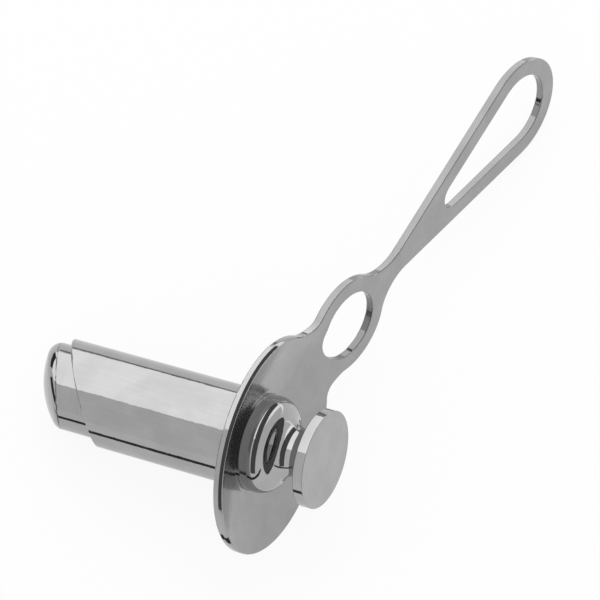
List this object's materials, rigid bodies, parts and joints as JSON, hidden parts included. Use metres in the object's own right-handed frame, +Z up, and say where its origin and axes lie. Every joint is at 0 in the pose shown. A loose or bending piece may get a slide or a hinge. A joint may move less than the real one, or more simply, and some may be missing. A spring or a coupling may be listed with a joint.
{
  "type": "proctoscope",
  "caption": "Short steel viewing tube with an oblique end on a dished flange with a flat looped handle, and a domed plug with a round knob that slides out of the tube.",
  "frame": {"origin": "centre of the bounding box on the surface that the instrument lies on, on its side", "axes": "+Z up, +Y level along the handle towards its loop, +X to the knob's side, with the tube's far end towards -X"},
  "size_m": [0.0734, 0.1362, 0.0478],
  "materials": {
    "polished_steel": "polished stainless steel",
    "satin_steel": "stainless steel sheet, satin faces with bright edges",
    "bright_steel": "turned and mirror polished stainless steel",
    "silver_solder": "polished silver solder"
  },
  "bodies": {
    "speculum": {"speculum_tube": "polished_steel", "flange_handle": "satin_steel", "solder_ring": "silver_solder"},
    "obturator": {"obturator_barrel": "polished_steel", "obturator_nose": "polished_steel", "obturator_collar": "bright_steel", "obturator_knob": "bright_steel"}
  },
  "joints": [
    {"name": "obturator_slide", "type": "slide", "parent": "speculum", "child": "obturator", "axis": [0.932, 0.2472, 0.265], "range_m": [0, 0.063]}
  ]
}
